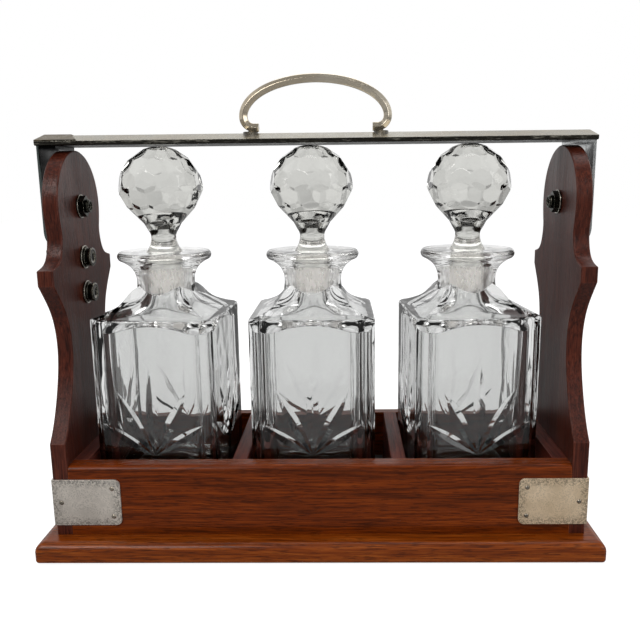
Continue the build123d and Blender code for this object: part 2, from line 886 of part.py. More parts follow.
curl_x = handle_x - handle_spread
stub_x = curl_x + handle_curl
stub_end_x = handle_foot_xs[0] + handle_stub
with BuildPart() as handle_bow:
    with BuildLine(Plane.XZ) as bow_path:
        Line((stub_end_x, stub_z), (stub_x, stub_z))
        ThreePointArc(
            (stub_x, stub_z),
            (stub_x - handle_curl * math.sin(math.pi / 4), stub_z + handle_curl * (1 - math.cos(math.pi / 4))),
            (curl_x, stub_z + handle_curl),
        )
        EllipticalCenterArc(
            (handle_x, stub_z + handle_curl),
            handle_spread,
            handle_arch,
            start_angle=180,
            arc_size=-90,
        )
    start_plane = Plane(origin=(stub_end_x, 0, stub_z), x_dir=(0, 0, 1), z_dir=(-1, 0, 0))
    sweep(sections=rod_section(start_plane), path=bow_path.wires()[0], is_frenet=False)
    mirror(about=Plane.YZ.offset(handle_x))
    for cut in handle_screw_cuts:
        add(cut, mode=Mode.SUBTRACT)
keep(handle_bow.part, "handle_bow")

foot_bottom_z = foot_top_z - foot_height
with BuildPart() as handle_feet:
    for x in handle_foot_xs:
        with BuildSketch(Plane.XY.offset(foot_bottom_z)):
            with Locations((x, 0)):
                Ellipse(foot_half_x, foot_half_y)
        with BuildSketch(Plane.XY.offset(foot_bottom_z + 0.5 * foot_height)):
            with Locations((x, 0)):
                Ellipse(0.5 * (foot_half_x + foot_waist_x) - 0.4, 0.5 * (foot_half_y + foot_waist_y) - 1.2)
        with BuildSketch(Plane.XY.offset(foot_top_z)):
            with Locations((x, 0)):
                Ellipse(foot_waist_x, foot_waist_y)
        loft()
    add(bar_blank.part, mode=Mode.SUBTRACT)
    for cut in handle_screw_cuts:
        add(cut, mode=Mode.SUBTRACT)
keep(handle_feet.part, "handle_feet")


# --------------------------------------------------------------- pivot bolts
def pivot_bolt(side, name):
    arm_outer = bar_offset + side * (arm_inner_reach + arm_thickness)
    seat = abs(arm_outer) + pivot_side_play
    end = upright_inner - pivot_end
    nut_face = upright_inner - washer_thickness - nut_height
    profile = [
        (0, end + pivot_dimple_depth),
        (pivot_dimple_radius, end + 0.6 * pivot_dimple_depth),
        (pivot_dimple_radius, end),
        (pivot_end_radius - pivot_end_bevel, end),
        (pivot_end_radius, end + pivot_end_bevel),
        (pivot_end_radius, nut_face),
        (pivot_radius, nut_face),
        (pivot_radius, seat),
        (pivot_head_radius, seat),
        (pivot_head_radius, seat + 0.6 * pivot_head_height),
        (0.7 * pivot_head_radius, seat + pivot_head_height),
        (0, seat + pivot_head_height),
    ]
    with BuildPart() as bolt:
        add(turned(profile, (0, 0, pivot_z), (side, 0, 0)))
        with BuildSketch(facing_x(side * (seat + pivot_head_height), 0, pivot_z)):
            Rectangle(2 * pivot_head_radius, pivot_slot)
        extrude(amount=-side * 0.5 * pivot_head_height, mode=Mode.SUBTRACT)
    keep(bolt.part, name)


pivot_bolt(-1, "left_pivot_bolt")
pivot_bolt(1, "right_pivot_bolt")


def ring(x_near, x_far, z, outer_radius, inner_radius):
    """Plain ring on an X axis, between two X positions."""
    x_low, x_high = sorted((x_near, x_far))
    with BuildPart() as piece:
        with BuildSketch(facing_x(x_low, 0, z)):
            Circle(outer_radius)
            Circle(inner_radius, mode=Mode.SUBTRACT)
        extrude(amount=x_high - x_low)
    return piece.part


with BuildPart() as spacer_bushes:
    for side in (-1, 1):
        arm_face = bar_offset + side * arm_inner_reach - side * pivot_side_play
        add(ring(side * upright_outer, arm_face, pivot_z, bush_radius, pivot_radius))
keep(spacer_bushes.part, "spacer_bushes")

with BuildPart() as pivot_washers:
    for side in (-1, 1):
        face = side * upright_inner
        add(ring(face, face - side * washer_thickness, pivot_z, washer_radius, pivot_radius))
keep(pivot_washers.part, "pivot_washers")

with BuildPart() as pivot_nuts:
    for side in (-1, 1):
        face = side * (upright_inner - washer_thickness)
        with BuildSketch(facing_x(face, 0, pivot_z)):
            RegularPolygon(nut_half_flats, 6, major_radius=False, rotation=30)
            Circle(pivot_radius, mode=Mode.SUBTRACT)
        extrude(amount=-side * nut_height)
keep(pivot_nuts.part, "pivot_nuts")

# ---------------------------------------------------------------------- lock
arm_plane_inner = bar_offset - arm_inner_reach
arm_plane_outer = arm_plane_inner - arm_thickness
bolt_inner_x = arm_plane_inner + bolt_play
bolt_outer_x = arm_plane_outer - bolt_play
case_inner_x = bolt_outer_x - 2 * bolt_play
case_outer_x = case_inner_x - lock_wall
back_x = -upright_outer - lock_back
lock_top_z = pivot_z - lock_top
lock_bottom_z = pivot_z - lock_bottom
barrel_z = pivot_z - barrel_drop
cam_face_x = bolt_inner_x + cam_gap

lock_screw_cuts = []
with BuildPart() as lock_screws:
    for drop in lock_screw_drops:
        head_face = upright_inner - washer_thickness
        head_end = head_face - lock_screw_head_height
        profile = [
            (0, head_end),
            (lock_screw_head_radius - lock_screw_bevel, head_end),
            (lock_screw_head_radius, head_end + lock_screw_bevel),
            (lock_screw_head_radius, head_face),
            (lock_screw_radius, head_face),
            (lock_screw_radius, -back_x),
            (0, -back_x),
        ]
        add(turned(profile, (0, 0, pivot_z - drop), (-1, 0, 0)))
        cut_start = (1 - upright_outer, 0, pivot_z - drop)
        lock_screw_cuts.append(rod(cut_start, (-1, 0, 0), lock_screw_radius, arm_clearance))
    for drop in lock_screw_drops:
        with BuildSketch(facing_x(-head_end, 0, pivot_z - drop)):
            Rectangle(lock_screw_slot, 2 * lock_screw_head_radius)
        extrude(amount=-lock_screw_slot_depth, mode=Mode.SUBTRACT)
keep(lock_screws.part, "lock_screws")

with BuildPart() as lock_washers:
    for drop in lock_screw_drops:
        face = -upright_inner
        add(ring(face, face + washer_thickness, pivot_z - drop, washer_radius, lock_screw_radius))
keep(lock_washers.part, "lock_washers")

with BuildPart() as lock_back_plate:
    low = (back_x, -lock_half_width, lock_bottom_z)
    add(slab(low, (-upright_outer, lock_half_width, lock_top_z)))
    for cut in lock_screw_cuts:
        add(cut, mode=Mode.SUBTRACT)
    spigot_hole = rod((back_x - 1, 0, barrel_z), (1, 0, 0), cam_spigot_radius + barrel_fit, lock_back + 1)
    add(spigot_hole, mode=Mode.SUBTRACT)
keep(lock_back_plate.part, "lock_back_plate")

with BuildPart() as lock_case:
    add(slab((case_outer_x, -lock_half_width, lock_bottom_z), (back_x, lock_half_width, lock_top_z)))
    fillet(lock_case.faces().sort_by(Axis.X)[0].edges(), lock_edge_round)
    hollow_low = (case_inner_x, -lock_half_width + lock_wall, lock_bottom_z + lock_wall)
    hollow_high = (back_x, lock_half_width - lock_wall, lock_top_z - lock_wall)
    add(slab(hollow_low, hollow_high), mode=Mode.SUBTRACT)
    mouth_half = bolt_tip_half_width + notch_gap
    mouth_low = (bolt_outer_x - bolt_play, -mouth_half, lock_top_z - 2 * lock_wall)
    mouth_high = (bolt_inner_x + bolt_play, mouth_half, lock_top_z + 1)
    add(slab(mouth_low, mouth_high), mode=Mode.SUBTRACT)
    barrel_hole = rod((case_outer_x - 1, 0, barrel_z), (1, 0, 0), barrel_radius + barrel_fit, lock_wall + 2)
    add(barrel_hole, mode=Mode.SUBTRACT)
keep(lock_case.part, "lock_case")

cam_angle = math.radians(cam_rest_angle)
cam_pin_y = cam_pin_offset * math.cos(cam_angle)
cam_pin_z = barrel_z + cam_pin_offset * math.sin(cam_angle)
with BuildPart() as lock_barrel:
    add(rod((case_outer_x, 0, barrel_z), (1, 0, 0), barrel_radius, cam_face_x - case_outer_x))
    add(rod((cam_face_x, 0, barrel_z), (1, 0, 0), cam_radius, cam_thickness))
    spigot_start = cam_face_x + cam_thickness
    spigot_end = -upright_outer - 0.3
    add(rod((spigot_start, 0, barrel_z), (1, 0, 0), cam_spigot_radius, spigot_end - spigot_start))
    add(rod((bolt_outer_x, cam_pin_y, cam_pin_z), (1, 0, 0), cam_pin_radius, cam_face_x - bolt_outer_x))
    add(rod((case_outer_x, 0, barrel_z), (1, 0, 0), keyhole_radius, keyhole_depth), mode=Mode.SUBTRACT)
    with BuildSketch(facing_x(case_outer_x, 0, barrel_z - keyhole_slot_length / 2)):
        Rectangle(keyhole_slot, keyhole_slot_length)
    extrude(amount=keyhole_depth, mode=Mode.SUBTRACT)
keep(lock_barrel.part, "lock_barrel")

with BuildPart() as lock_bolt:
    with BuildSketch(facing_x(bolt_outer_x, 0, 0)):
        shoulder_z = pivot_z - bolt_shoulder_drop
        foot_z = pivot_z - bolt_foot_drop
        tip_z = pivot_z - bolt_tip_drop
        with BuildLine():
            Polyline(
                (-bolt_half_width, foot_z),
                (bolt_half_width, foot_z),
                (bolt_half_width, shoulder_z),
                (bolt_tip_half_width, shoulder_z),
                (bolt_tip_half_width, tip_z),
                (-bolt_tip_half_width, tip_z),
                (-bolt_tip_half_width, shoulder_z),
                (-bolt_half_width, shoulder_z),
                close=True,
            )
        make_face()
        window_half = barrel_radius + bolt_window_margin
        window_top = barrel_z + window_half
        window_bottom = barrel_z - window_half - bolt_travel
        with Locations((0, (window_top + window_bottom) / 2)):
            Rectangle(2 * window_half, window_top - window_bottom, mode=Mode.SUBTRACT)
        slot_end = cam_pin_offset + cam_pin_radius + 2 * cam_pin_gap
        with Locations((slot_end / 2, cam_pin_z)):
            Rectangle(slot_end, 2 * (cam_pin_radius + cam_pin_gap), mode=Mode.SUBTRACT)
    extrude(amount=bolt_inner_x - bolt_outer_x)
    tip_edges = lock_bolt.faces().sort_by(Axis.Z)[-1].edges().filter_by(Axis.X)
    fillet(tip_edges, bolt_tip_round)
keep(lock_bolt.part, "lock_bolt")
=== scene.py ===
import math

import bpy
import bmesh
from mathutils import Matrix, Vector


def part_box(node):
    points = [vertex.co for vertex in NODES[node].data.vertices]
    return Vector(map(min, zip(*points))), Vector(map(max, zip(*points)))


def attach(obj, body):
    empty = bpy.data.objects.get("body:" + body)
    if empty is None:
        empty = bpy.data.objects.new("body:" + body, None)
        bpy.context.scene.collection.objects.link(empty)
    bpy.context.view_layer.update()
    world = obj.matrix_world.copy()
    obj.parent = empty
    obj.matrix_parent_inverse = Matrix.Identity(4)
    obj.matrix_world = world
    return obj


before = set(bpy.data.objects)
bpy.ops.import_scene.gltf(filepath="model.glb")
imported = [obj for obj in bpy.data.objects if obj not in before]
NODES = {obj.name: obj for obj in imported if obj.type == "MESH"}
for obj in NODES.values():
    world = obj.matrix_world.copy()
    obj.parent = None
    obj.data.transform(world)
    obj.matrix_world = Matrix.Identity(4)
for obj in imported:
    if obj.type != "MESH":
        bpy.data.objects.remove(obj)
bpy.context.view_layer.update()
scene = bpy.context.scene

# --------------------------------------------------------------- camera
# Fitted to points measured on the photograph: pixels, degrees and metres.
FOCAL_PX, CENTRE_X_PX, CENTRE_Y_PX, PICTURE_PX = 691.51, 334.14, 314.41, 640.0
YAW, PITCH, ROLL = (math.radians(a) for a in (-0.9648, 10.9598, -0.6021))
CAMERA_PLACE = (0.01942, -0.50590, 0.25669)
SENSOR_MM = 36.0

forward = Vector((math.sin(YAW) * math.cos(PITCH), math.cos(YAW) * math.cos(PITCH), -math.sin(PITCH)))
level_right = Vector((math.cos(YAW), -math.sin(YAW), 0))
level_up = level_right.cross(forward)
camera_x = level_right * math.cos(ROLL) + level_up * math.sin(ROLL)
camera_y = level_up * math.cos(ROLL) - level_right * math.sin(ROLL)

lens = bpy.data.cameras.new("camera")
lens.sensor_width = SENSOR_MM
lens.lens = FOCAL_PX / PICTURE_PX * SENSOR_MM
lens.shift_x = (PICTURE_PX / 2 - CENTRE_X_PX) / PICTURE_PX
lens.shift_y = (CENTRE_Y_PX - PICTURE_PX / 2) / PICTURE_PX
lens.clip_start = 0.01
camera = bpy.data.objects.new("camera", lens)
scene.collection.objects.link(camera)
camera.matrix_world = (
    Matrix.Translation(CAMERA_PLACE) @ Matrix((camera_x, camera_y, -forward)).transposed().to_4x4()
)
scene.camera = camera
scene.view_settings.view_transform = "Standard"


# ------------------------------------------------------------ node helpers
class Tree:
    """Adds nodes to one material or world and wires them."""

    def __init__(self, owner, output="ShaderNodeOutputMaterial", source="Object"):
        self.owner = owner
        owner.use_nodes = True
        self.nodes = owner.node_tree.nodes
        self.links = owner.node_tree.links
        self.nodes.clear()
        self.out = self.add(output)
        self.coord = self.add("ShaderNodeTexCoord").outputs[source]

    def add(self, kind, **props):
        node = self.nodes.new(kind)
        for key, value in props.items():
            setattr(node, key, value)
        return node

    def put(self, socket, value):
        """Wire value to the socket if it is a socket, or else set it there."""
        if isinstance(value, bpy.types.NodeSocket):
            self.links.new(value, socket)
        elif isinstance(value, (tuple, list)) and len(value) == 3 and socket.type == "RGBA":
            socket.default_value = (*value, 1.0)
        else:
            socket.default_value = value

    def math(self, operation, *values, clamp=False):
        node = self.add("ShaderNodeMath", operation=operation, use_clamp=clamp)
        for socket, value in zip(node.inputs, values):
            self.put(socket, value)
        return node.outputs[0]

    def times(self, a, b, clamp=False):
        return self.math("MULTIPLY", a, b, clamp=clamp)

    def times_plus(self, a, b, c):
        return self.math("MULTIPLY_ADD", a, b, c)

    def stretch(self, scale, shift=(0, 0, 0), source=None):
        """Coordinates scaled by one number or three, then shifted."""
        node = self.add("ShaderNodeMapping")
        self.put(node.inputs["Vector"], source or self.coord)
        self.put(node.inputs["Location"], shift)
        self.put(node.inputs["Scale"], scale if isinstance(scale, tuple) else (scale,) * 3)
        return node.outputs[0]

    def noise(self, scale, shift=(0, 0, 0), detail=3.0, rough=0.55, source=None):
        node = self.add("ShaderNodeTexNoise")
        self.put(node.inputs["Vector"], self.stretch(scale, shift, source))
        self.put(node.inputs["Scale"], 1.0)
        self.put(node.inputs["Detail"], detail)
        self.put(node.inputs["Roughness"], rough)
        return node.outputs["Fac"]

    def cells(self, scale):
        node = self.add("ShaderNodeTexVoronoi")
        self.put(node.inputs["Vector"], self.stretch(scale))
        self.put(node.inputs["Scale"], 1.0)
        return node.outputs["Distance"]

    def span(self, value, low, high, to_low=0.0, to_high=1.0, kind="SMOOTHSTEP"):
        """Map low..high to to_low..to_high, held at the ends."""
        node = self.add("ShaderNodeMapRange", interpolation_type=kind)
        for socket, number in zip(node.inputs, (value, low, high, to_low, to_high)):
            self.put(socket, number)
        return node.outputs[0]

    def mix(self, factor, a, b):
        """Mix two colours."""
        node = self.add("ShaderNodeMix", data_type="RGBA")
        self.put(node.inputs[0], factor)
        self.put(node.inputs[6], a)
        self.put(node.inputs[7], b)
        return node.outputs[2]

    def mix_value(self, factor, a, b):
        """Mix two numbers."""
        node = self.add("ShaderNodeMix", data_type="FLOAT")
        self.put(node.inputs[0], factor)
        self.put(node.inputs[2], a)
        self.put(node.inputs[3], b)
        return node.outputs[0]

    def bump(self, height, strength, distance, normal=None):
        node = self.add("ShaderNodeBump")
        self.put(node.inputs["Height"], height)
        self.put(node.inputs["Strength"], strength)
        self.put(node.inputs["Distance"], distance)
        if normal is not None:
            self.put(node.inputs["Normal"], normal)
        return node.outputs[0]

    def axis(self, name):
        node = self.add("ShaderNodeSeparateXYZ")
        self.put(node.inputs[0], self.coord)
        return node.outputs[name]

    def rounded(self, radius):
        """Normal as if the edges were rubbed round, and a mask that is 1 on those edges."""
        bevel = self.add("ShaderNodeBevel", samples=4)
        self.put(bevel.inputs["Radius"], radius)
        flat = self.add("ShaderNodeNewGeometry")
        dot = self.add("ShaderNodeVectorMath", operation="DOT_PRODUCT")
        self.put(dot.inputs[0], bevel.outputs[0])
        self.put(dot.inputs[1], flat.outputs["True Normal"])
        return bevel.outputs[0], self.span(dot.outputs["Value"], 0.995, 0.93)

    def principled(self, **sockets):
        node = self.add("ShaderNodeBsdfPrincipled")
        for key, value in sockets.items():
            self.put(node.inputs[key.replace("_", " ")], value)
        return node

    def finish(self, shader):
        self.put(self.out.inputs["Surface"], shader.outputs[0])
        return self.owner


def material_tree(name):
    return Tree(bpy.data.materials.new(name))


def srgb(*display):
    """8-bit display colour to scene linear."""
    def linear(c):
        c /= 255.0
        return c / 12.92 if c <= 0.04045 else ((c + 0.055) / 1.055) ** 2.4
    return tuple(linear(c) for c in display)


def scaled(colour, factor):
    return tuple(min(1.0, c * factor) for c in colour)


# ------------------------------------------------------------------- wood
GRAIN_DRIFT = 0.011  # how far the fibres wander sideways
WOOD_ARRIS = 0.0009
COAT_ROUGHNESS = 0.12


def mahogany(name, grain, dark, mid, light, offset, gloss, shine, coat=0.0, speckle=0.0):
    """Polished mahogany with a straight, fine grain. grain is the axis the fibres run along."""
    t = material_tree(name)
    along = "XYZ".index(grain)

    def fibre(long, wide):
        scale = [wide, wide, wide]
        scale[along] = long
        return tuple(scale)

    drift = t.noise(fibre(5, 9), (offset, offset * 0.7, 0.3), 1.0)
    push = [GRAIN_DRIFT] * 3
    push[along] = 0.0
    wander = t.add("ShaderNodeVectorMath", operation="MULTIPLY_ADD")
    for socket, value in zip(wander.inputs, (drift, tuple(push), t.coord)):
        t.put(socket, value)
    bent = wander.outputs[0]

    band = t.noise(fibre(1.4, 58), (offset * 3, 0.1, offset), 1.0, 0.4, bent)
    streak = t.noise(fibre(12, 480), (0.2, offset, 0.9), 2.0, 0.5, bent)
    fine = t.noise(fibre(38, 1250), (offset, 0.5, 0.1), 1.0, 0.5, bent)
    ray = t.noise(fibre(1.9, 150), (0.5, offset, 0.4), 2.0, 0.5, bent)
    pore = t.noise(fibre(86, 1000), (0.7, 0.2, offset), 2.0, 0.6, bent)
    pores = t.span(pore, 0.51, 0.66)

    tone = t.times_plus(t.span(streak, 0.28, 0.72), 0.44, t.times(t.span(band, 0.25, 0.78), 0.18))
    tone = t.times_plus(t.span(fine, 0.30, 0.72), 0.38, tone)
    colour = t.mix(t.span(tone, 0.05, 0.58), dark, mid)
    colour = t.mix(t.span(tone, 0.50, 1.0), colour, light)
    deep = scaled(dark, 0.40)
    colour = t.mix(t.times(t.span(ray, 0.62, 0.80), 0.45), colour, deep)
    colour = t.mix(t.times(pores, 0.60), colour, deep)

    chafe = t.noise(120)
    soft, arris = t.rounded(WOOD_ARRIS)
    worn = t.times(arris, t.span(chafe, 0.34, 0.60, 0.35, 1.0))
    rubbed = tuple(min(1, c * 1.5 + 0.02) for c in light)
    colour = t.mix(t.times(worn, 0.60), colour, rubbed)

    smear = t.noise(fibre(6, 40), (0.3, 0.3, offset), 3.0, 0.6)
    rough = t.span(smear, 0.3, 0.75, gloss - 0.04, gloss + 0.12)
    height = t.times_plus(pores, -0.8, t.times(fine, 0.35))
    normal = t.bump(height, 0.30, 0.0003, soft)
    if speckle:
        grit = t.noise(700, (offset, 0, 0), 3.0, 0.65)
        normal = t.bump(grit, speckle, 0.0007, normal)
    p = t.principled(
        Base_Color=colour, Roughness=rough, Normal=normal,
        Specular_IOR_Level=shine, Coat_Weight=coat, Coat_Roughness=COAT_ROUGHNESS,
    )
    return t.finish(p)


wood_plinth = mahogany(
    "plinth_mahogany", "X", srgb(80, 30, 3), srgb(120, 53, 6), srgb(148, 76, 22),
    offset=0.15, gloss=0.26, shine=0.14, coat=0.22,
)
wood_front = mahogany(
    "tray_mahogany", "X", srgb(70, 26, 3), srgb(105, 42, 5), srgb(134, 60, 12),
    offset=0.55, gloss=0.24, shine=0.12, coat=0.10,
)
wood_inner = mahogany(
    "tray_inner_mahogany", "Y", srgb(58, 22, 16), srgb(88, 38, 28), srgb(116, 58, 42),
    offset=0.35, gloss=0.40, shine=0.14,
)
wood_upright = mahogany(
    "upright_mahogany", "Z", srgb(46, 16, 9), srgb(70, 29, 18), srgb(90, 42, 28),
    offset=0.8, gloss=0.32, shine=0.20, speckle=0.10,
)


# ------------------------------------------------------------------ metals
METAL_ARRIS = 0.0004
# Below these heights the bar and its end plate are painted almost black: painted shade on the lower edge
# and underside.
BAR_EDGE_Z = 0.2854
END_PLATE_EDGE_Z = 0.2864
ARM_SHADE_Z = 0.268
ARM_SHADE_X = (-0.1930, -0.1923)  # only the arm's inner face gets the painted shade
ARM_SHADE_DEPTH = 0.010


def bordered(t, colour, spot, base, box):
    """Dark flecks along the border of a plate that faces along Y, and fewer pits inside it."""
    low, high = box
    outside = []
    for name in "XZ":
        i = "XYZ".index(name)
        off = t.math("ABSOLUTE", t.math("SUBTRACT", t.axis(name), (low[i] + high[i]) / 2))
        outside.append(t.math("SUBTRACT", off, (high[i] - low[i]) / 2))
    far = t.math("MAXIMUM", *outside)
    ragged = t.times_plus(t.noise(260, detail=2.0), 0.006, far)
    rim = t.span(ragged, -0.0042, 0.0012)
    fleck = t.span(t.noise(900, (0.4, 0.2, 0.1), 2.0, 0.7), 0.44, 0.60)
    colour = t.mix(t.times(t.times(rim, fleck), 0.72), colour, scaled(base, 0.22))
    return colour, t.times(spot, t.span(rim, 0.0, 1.0, 0.55, 1.0))


def shaded_below(t, colour, base, edge_z, edge_colour):
    """Painted shade: below edge_z, on the lower edge and underside, the plate is almost black, with
    rubbed bright specks.
    """
    z = t.axis("Z")
    wave = t.noise(36, detail=2.0, rough=0.6)
    limit = t.times_plus(wave, 0.0006, edge_z - 0.0003)
    low = t.span(t.math("SUBTRACT", z, limit), 0.0003, -0.0003)
    rubbed = t.noise((75, 260, 420), rough=0.7)
    lower_lip = t.span(t.math("SUBTRACT", z, edge_z - 0.0022), -0.0006, 0.0008)
    bright = t.times(t.span(rubbed, 0.50, 0.66), lower_lip)
    underside_shade = t.mix(t.times(bright, 0.75), edge_colour, scaled(base, 0.9))
    return t.mix(low, colour, underside_shade)


def arm_top_shade(t, colour, small, shade_start_z):
    """Painted shade: black towards the top of the left arm's inner face, which lies in shade under the
    bar.
    """
    height = t.math("ADD", t.axis("Z"), t.times(small, 0.012))
    inside = t.span(t.axis("X"), *ARM_SHADE_X)
    arm_shade_mask = t.times(t.span(height, shade_start_z, shade_start_z + ARM_SHADE_DEPTH), inside)
    return t.mix(arm_shade_mask, colour, srgb(16, 16, 15))


def plated(
    name, base, tint, rough, pits, pit_depth=0.5, edge_z=None, edge_colour=(0, 0, 0),
    brushed=None, cloudy=0.35, border=None, arm_shade_z=None, metallic=1.0,
):
    """Old silver plate: mottled and pitted, and darkened by painted shade below edge_z and towards the
    top of the left arm's inner face.
    """
    t = material_tree(name)
    cloud = t.noise(24)
    small = t.noise(190, (0.3, 0.1, 0.7), 3.0, 0.6)
    grain = t.noise(1300, detail=2.0, rough=0.7)
    cells = t.cells(1050)
    spot = t.span(t.times_plus(small, 0.9, t.times(grain, 0.55)), 0.80, 0.70)
    spot = t.times(spot, t.span(cells, 0.60, 0.22), clamp=True)
    spot = t.times(spot, pits, clamp=True)
    colour = t.mix(t.span(cloud, 0.32, 0.7), base, tint)
    colour = t.mix(t.times(t.span(small, 0.42, 0.68), cloudy), colour, scaled(tint, 0.74))
    if border is not None:
        colour, spot = bordered(t, colour, spot, base, border)
    colour = t.mix(t.times(spot, 0.85), colour, scaled(base, 0.20))
    soft, edge = t.rounded(METAL_ARRIS)
    colour = t.mix(t.times(edge, 0.45), colour, scaled(base, 1.3))
    roughness = t.times_plus(t.span(small, 0.3, 0.7), 0.14, rough - 0.04)
    roughness = t.math("ADD", roughness, t.times(spot, 0.3), clamp=True)
    if edge_z is not None:
        colour = shaded_below(t, colour, base, edge_z, edge_colour)
    if arm_shade_z is not None:
        colour = arm_top_shade(t, colour, small, arm_shade_z)
    height = t.times_plus(spot, -pit_depth, t.times(grain, 0.2))
    if brushed:
        lines = t.noise(brushed, detail=2.0, rough=0.6)
        height = t.times_plus(lines, 0.5, height)
    p = t.principled(
        Base_Color=colour, Roughness=roughness, Metallic=metallic,
        Normal=t.bump(height, 0.35, 0.0003, soft),
    )
    return t.finish(p)


silver_bar = plated(
    "bar_silver_plate", srgb(182, 178, 165), srgb(176, 167, 150), rough=0.26, pits=0.12,
    edge_z=BAR_EDGE_Z, edge_colour=srgb(58, 56, 51), brushed=(25, 900, 900), cloudy=0.16,
)
bronzed = plated(
    "end_plate_bronzed", srgb(118, 106, 84), srgb(92, 80, 62), rough=0.34, pits=0.5, pit_depth=0.6,
    edge_z=END_PLATE_EDGE_Z, edge_colour=srgb(40, 36, 30),
)
silver_handle = plated(
    "handle_silver_plate", srgb(216, 207, 190), srgb(202, 189, 167), rough=0.08, pits=0.05,
    pit_depth=0.2, cloudy=0.12, metallic=0.85,
)
# Painted shade: the left arm's inner face lies in shade under the bar, so its plate is a darker blue-grey
# copy of the right arm's.
left_arm_shaded_plate = plated(
    "left_arm_shaded_plate", srgb(112, 122, 120), srgb(84, 96, 94), rough=0.30, pits=0.4, pit_depth=0.4,
    cloudy=0.3, arm_shade_z=ARM_SHADE_Z,
)
silver_arm = plated(
    "arm_silver_plate", srgb(196, 198, 198), srgb(176, 178, 178), rough=0.26, pits=0.25,
    pit_depth=0.4, cloudy=0.18,
)
grey_corner = plated(
    "left_corner_silver_plate", srgb(220, 212, 202), srgb(192, 184, 175), rough=0.34, pits=0.75,
    pit_depth=0.9, border=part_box("front_left_corner_plate"), metallic=0.55,
)
gold_corner = plated(
    "right_corner_silver_plate", srgb(236, 214, 184), srgb(212, 188, 155), rough=0.34, pits=0.65,
    pit_depth=0.8, border=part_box("front_right_corner_plate"), metallic=0.55,
)
pin_silver = plated(
    "pin_silver", srgb(176, 168, 154), srgb(96, 90, 82), rough=0.22, pits=0.2, pit_depth=0.3,
)
lock_brass = plated(
    "lock_plated_brass", srgb(158, 148, 124), srgb(128, 116, 92), rough=0.34, pits=0.4,
)
foot_plate = plated(
    "handle_foot_plate", srgb(104, 98, 86), srgb(52, 49, 43), rough=0.22, pits=0.9, pit_depth=0.8,
    cloudy=0.6,
)


def dark_steel(name, low, high, rim_colour):
    """Blackened steel with light edges: rubbed wear, partly a painted highlight."""
    t = material_tree(name)
    cloud = t.noise(260, rough=0.6)
    grain = t.noise(1500, detail=2.0, rough=0.6)
    colour = t.mix(t.span(cloud, 0.35, 0.70), low, high)
    soft, arris = t.rounded(METAL_ARRIS)
    # Lighter arrises: rubbed wear, partly a painted highlight.
    edge = t.times(arris, t.span(grain, 0.30, 0.60), clamp=True)
    colour = t.mix(edge, colour, rim_colour)
    p = t.principled(
        Base_Color=colour, Roughness=t.span(grain, 0.3, 0.7, 0.18, 0.36), Metallic=1.0,
        Normal=t.bump(cloud, 0.30, 0.0005, soft),
    )
    return t.finish(p)


steel = dark_steel("dark_steel", srgb(26, 29, 26), srgb(58, 58, 50), srgb(150, 146, 134))
washer_steel = dark_steel("washer_steel", srgb(38, 36, 33), srgb(88, 80, 70), srgb(196, 190, 178))
disc_steel = dark_steel("end_disc_steel", srgb(34, 34, 31), srgb(74, 71, 63), srgb(148, 142, 130))
# Painted highlight: the washers' rolled rims are a far lighter copy of the washer steel.
highlit_rim_steel = dark_steel("highlit_washer_rim_steel", srgb(120, 116, 106), srgb(186, 181, 170), srgb(222, 218, 208))


def baize_cloth():
    """Dark felt under the decanters."""
    t = material_tree("baize_cloth")
    fuzz = t.noise(1300, detail=4.0, rough=0.7)
    cloud = t.noise(60)
    colour = t.mix(t.span(cloud, 0.3, 0.7), srgb(26, 24, 22), srgb(44, 38, 34))
    colour = t.mix(t.times(t.span(fuzz, 0.4, 0.7), 0.5), colour, srgb(62, 55, 50))
    p = t.principled(
        Base_Color=colour, Roughness=0.95, Normal=t.bump(fuzz, 0.8, 0.0006), Sheen_Weight=0.3,
    )
    return t.finish(p)


baize = baize_cloth()


# ------------------------------------------------------------------- glass
GLASS_IOR = 1.545
FROST_RADIUS = 0.0136  # the ground joint's, from the decanter's axis
FROST_DROPS = (0.0302, 0.0072)  # its lower and upper end, below the rim
DECANTER_TINT, DECANTER_NECK_TINT = (0.775, 0.78, 0.775), (0.88, 0.88, 0.87)
STOPPER_TINT = (0.67, 0.67, 0.64)


def crystal(name, tint, frost_low, frost_high, centre, arris, ripple=0.0, neck_tint=None):
    """Lead crystal, faintly grey. Where the ground joint is, the surface is frosted and glows faintly,
    painted light for light scattered in the ground glass.
    """
    t = material_tree(name)
    normal = t.rounded(arris)[0]
    if ripple:
        slow = t.noise((26, 26, 20), detail=2.0, rough=0.5)
        normal = t.bump(slow, ripple, 0.004, normal)
    z = t.axis("Z")
    x = t.math("SUBTRACT", t.axis("X"), centre[0])
    y = t.math("SUBTRACT", t.axis("Y"), centre[1])
    radius = t.math("SQRT", t.math("ADD", t.times(x, x), t.times(y, y)))
    above = t.span(z, frost_low - 0.0008, frost_low + 0.0004)
    below = t.span(z, frost_high + 0.0006, frost_high - 0.0004)
    within = t.span(radius, FROST_RADIUS + 0.0008, FROST_RADIUS)
    frost_and_glow = t.times(t.times(above, below), within, clamp=True)
    lines = t.noise((420, 420, 90), rough=0.6)

    def by_line(low, high):
        return t.span(lines, 0.35, 0.65, low, high)

    if neck_tint is not None:
        tint = t.mix(t.span(z, frost_low - 0.012, frost_low + 0.006), tint, neck_tint)
    p = t.principled(
        Normal=normal,
        IOR=GLASS_IOR,
        Base_Color=t.mix(frost_and_glow, tint, srgb(250, 248, 245)),
        # Painted light: the frosted band glows faintly.
        Emission_Color=(1.0, 0.985, 0.97),
        Emission_Strength=t.times(frost_and_glow, by_line(0.05, 0.13)),
        Transmission_Weight=t.times_plus(frost_and_glow, by_line(-0.30, -0.60), 1.0),
        Roughness=t.times(frost_and_glow, by_line(0.20, 0.46), clamp=True),
    )
    return t.finish(p)


def centre_of(node):
    lo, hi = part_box(node)
    return (lo + hi) / 2


# ---------------------------------------------------------- finish by node
def dress(node, material):
    materials = NODES[node].data.materials
    materials.clear()
    materials.append(material)


